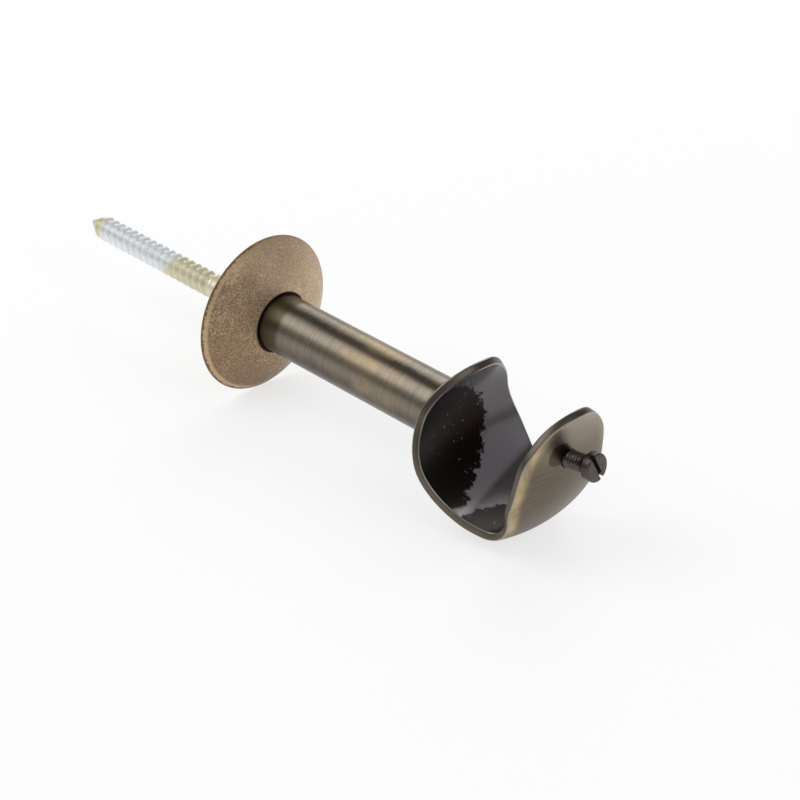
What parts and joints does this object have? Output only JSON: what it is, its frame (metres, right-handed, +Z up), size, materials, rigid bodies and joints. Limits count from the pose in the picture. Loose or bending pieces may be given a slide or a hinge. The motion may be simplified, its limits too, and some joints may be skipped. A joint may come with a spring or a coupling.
{
  "type": "curtain pole bracket",
  "caption": "Wall bracket for a curtain pole: domed rose, round stem tube, bent two-lobed cradle with a slotted clamp screw, and a hanger bolt.",
  "frame": {"origin": "centre of the rose's wall rim, on the axis of the stem tube", "axes": "+Y into the wall along the bolt, +X along the pole, +Z up"},
  "size_m": [0.0378, 0.1613, 0.0378],
  "materials": {
    "rose_bronze": "aged bronze plate, mottled and lightly stippled",
    "tube_bronze": "aged bronze plate, finely brushed round the tube",
    "cradle_bronze": "aged bronze plate, glossy dark inside and brushed outside",
    "zinc_plate": "zinc plate with a yellow passivated tint",
    "insert_steel": "plain turned steel",
    "blackened_steel": "blackened, worn at the slot and the thread"
  },
  "bodies": {
    "bracket": {"wall_rose": "rose_bronze", "stem_tube": "tube_bronze", "threaded_insert": "insert_steel", "hanger_bolt": "zinc_plate", "cradle": "cradle_bronze"},
    "screw": {"clamp_screw": "blackened_steel"}
  },
  "joints": [
    {"name": "screw_travel", "type": "slide", "parent": "bracket", "child": "screw", "axis": [0, 0.9877, -0.1564], "range_m": [0, 0.0046]}
  ]
}
